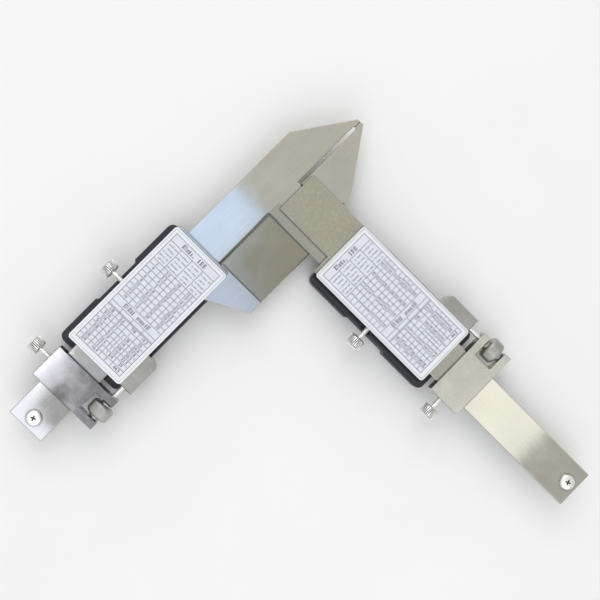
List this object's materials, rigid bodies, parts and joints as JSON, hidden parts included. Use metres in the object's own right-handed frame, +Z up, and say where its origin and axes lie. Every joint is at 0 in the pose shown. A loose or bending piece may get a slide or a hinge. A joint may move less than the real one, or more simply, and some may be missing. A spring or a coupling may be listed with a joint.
{
  "type": "digital gear tooth caliper",
  "caption": "Digital gear tooth caliper with crossed steel beams, display sliders for tooth height and thickness, a depth tongue and measuring jaws, lying on its display side.",
  "frame": {"origin": "middle of the base: under the middle of the outline's box, in the plane of the display faces", "axes": "+Z up out of the backs, +X along the width beam towards its free end, +Y along the tooth beam towards the jaw tips"},
  "size_m": [0.1892, 0.1694, 0.0173],
  "materials": {
    "ground_steel": "ground, with a fine grain along each beam",
    "satin_steel": "satin ground",
    "bright_steel": "bright turned and knurled",
    "cover_aluminium": "satin silver with a printed table",
    "black_plastic": "fine matte texture",
    "grey_button": "matte moulded",
    "clear_lens": "clear",
    "display_glass": "grey-green display glass",
    "connector_rubber": "matte",
    "circuit_board": "green solder mask",
    "battery_steel": "plated",
    "brass": "plain",
    "scale_strip": "dark film with light graduations"
  },
  "bodies": {
    "beam_frame": {"main_frame": "ground_steel", "tongue_scale_strip": "scale_strip", "jaw_scale_strip": "scale_strip", "tongue_stop_screw": "bright_steel", "jaw_stop_screw": "bright_steel"},
    "tongue_head": {"tongue_frame": "satin_steel", "tongue_back_cover": "cover_aluminium", "tongue_display_housing": "black_plastic", "tongue_display_lens": "clear_lens", "tongue_lcd_panel": "display_glass", "tongue_display_connector": "connector_rubber", "tongue_circuit_board": "circuit_board", "tongue_battery": "battery_steel", "tongue_battery_contact": "brass", "tongue_gib": "brass", "tongue_gib_screw_1": "bright_steel", "tongue_gib_screw_2": "bright_steel", "tongue_adjust_spindle": "bright_steel"},
    "tongue_lock": {"tongue_lock_screw": "bright_steel"},
    "tongue_key_1": {"tongue_button_1": "grey_button"},
    "tongue_key_2": {"tongue_button_2": "grey_button"},
    "tongue_key_3": {"tongue_button_3": "grey_button"},
    "tongue_door": {"tongue_battery_door": "black_plastic"},
    "tongue_clamp": {"tongue_carriage": "satin_steel", "tongue_carriage_gib": "brass"},
    "tongue_clamp_lock": {"tongue_carriage_lock_screw": "bright_steel"},
    "tongue_nut": {"tongue_adjust_nut": "bright_steel"},
    "jaw_head": {"jaw_frame": "satin_steel", "jaw_back_cover": "cover_aluminium", "jaw_display_housing": "black_plastic", "jaw_display_lens": "clear_lens", "jaw_lcd_panel": "display_glass", "jaw_display_connector": "connector_rubber", "jaw_circuit_board": "circuit_board", "jaw_battery": "battery_steel", "jaw_battery_contact": "brass", "jaw_gib": "brass", "jaw_gib_screw_1": "bright_steel", "jaw_gib_screw_2": "bright_steel", "jaw_adjust_spindle": "bright_steel"},
    "jaw_lock": {"jaw_lock_screw": "bright_steel"},
    "jaw_key_1": {"jaw_button_1": "grey_button"},
    "jaw_key_2": {"jaw_button_2": "grey_button"},
    "jaw_key_3": {"jaw_button_3": "grey_button"},
    "jaw_door": {"jaw_battery_door": "black_plastic"},
    "jaw_clamp": {"jaw_carriage": "satin_steel", "jaw_carriage_gib": "brass"},
    "jaw_clamp_lock": {"jaw_carriage_lock_screw": "bright_steel"},
    "jaw_nut": {"jaw_adjust_nut": "bright_steel"}
  },
  "joints": [
    {"name": "tongue_slide", "type": "slide", "parent": "beam_frame", "child": "tongue_head", "axis": [0, 1, 0], "range_m": [-0.0055, 0.025]},
    {"name": "jaw_slide", "type": "slide", "parent": "beam_frame", "child": "jaw_head", "axis": [1, 0, 0], "range_m": [0, 0.043]},
    {"name": "tongue_fine_slide", "type": "slide", "parent": "tongue_head", "child": "tongue_clamp", "axis": [0, -1, 0], "range_m": [-0.003, 0.0025]},
    {"name": "jaw_fine_slide", "type": "slide", "parent": "jaw_head", "child": "jaw_clamp", "axis": [1, 0, 0], "range_m": [-0.003, 0.0025]},
    {"name": "tongue_nut_turn", "type": "hinge", "parent": "tongue_clamp", "child": "tongue_nut", "pos_m": [-0.0575, -0.0614, 0.0121], "axis": [0, -1, 0], "range_deg": [-2161, 1801]},
    {"name": "jaw_nut_turn", "type": "hinge", "parent": "jaw_clamp", "child": "jaw_nut", "pos_m": [0.0331, 0.0592, 0.0121], "axis": [1, 0, 0], "range_deg": [-2161, 1801]},
    {"name": "tongue_lock_turn", "type": "hinge", "parent": "tongue_head", "child": "tongue_lock", "pos_m": [-0.073, -0.0212, 0.0121], "axis": [-1, 0, 0], "range_deg": [-180, 360]},
    {"name": "jaw_lock_turn", "type": "hinge", "parent": "jaw_head", "child": "jaw_lock", "pos_m": [-0.0071, 0.0437, 0.0121], "axis": [0, -1, 0], "range_deg": [-180, 360]},
    {"name": "tongue_clamp_lock_turn", "type": "hinge", "parent": "tongue_clamp", "child": "tongue_clamp_lock", "pos_m": [-0.073, -0.0603, 0.0121], "axis": [-1, 0, 0], "range_deg": [-180, 360]},
    {"name": "jaw_clamp_lock_turn", "type": "hinge", "parent": "jaw_clamp", "child": "jaw_clamp_lock", "pos_m": [0.032, 0.0437, 0.0121], "axis": [0, -1, 0], "range_deg": [-180, 360]},
    {"name": "tongue_press_1", "type": "slide", "parent": "tongue_head", "child": "tongue_key_1", "axis": [0, 0, 1], "range_m": [0, 0.0004], "stiffness_N_per_m": 1000},
    {"name": "tongue_press_2", "type": "slide", "parent": "tongue_head", "child": "tongue_key_2", "axis": [0, 0, 1], "range_m": [0, 0.0004], "stiffness_N_per_m": 1000},
    {"name": "tongue_press_3", "type": "slide", "parent": "tongue_head", "child": "tongue_key_3", "axis": [0, 0, 1], "range_m": [0, 0.0004], "stiffness_N_per_m": 1000},
    {"name": "jaw_press_1", "type": "slide", "parent": "jaw_head", "child": "jaw_key_1", "axis": [0, 0, 1], "range_m": [0, 0.0004], "stiffness_N_per_m": 1000},
    {"name": "jaw_press_2", "type": "slide", "parent": "jaw_head", "child": "jaw_key_2", "axis": [0, 0, 1], "range_m": [0, 0.0004], "stiffness_N_per_m": 1000},
    {"name": "jaw_press_3", "type": "slide", "parent": "jaw_head", "child": "jaw_key_3", "axis": [0, 0, 1], "range_m": [0, 0.0004], "stiffness_N_per_m": 1000},
    {"name": "tongue_door_slide", "type": "slide", "parent": "tongue_head", "child": "tongue_door", "axis": [0, -1, 0], "range_m": [0, 0.016]},
    {"name": "jaw_door_slide", "type": "slide", "parent": "jaw_head", "child": "jaw_door", "axis": [1, 0, 0], "range_m": [0, 0.016]}
  ],
  "couplings": [
    {"joint": "tongue_nut_turn", "follows": "tongue_fine_slide", "rad_per_m": 12566},
    {"joint": "jaw_nut_turn", "follows": "jaw_fine_slide", "rad_per_m": 12566}
  ]
}
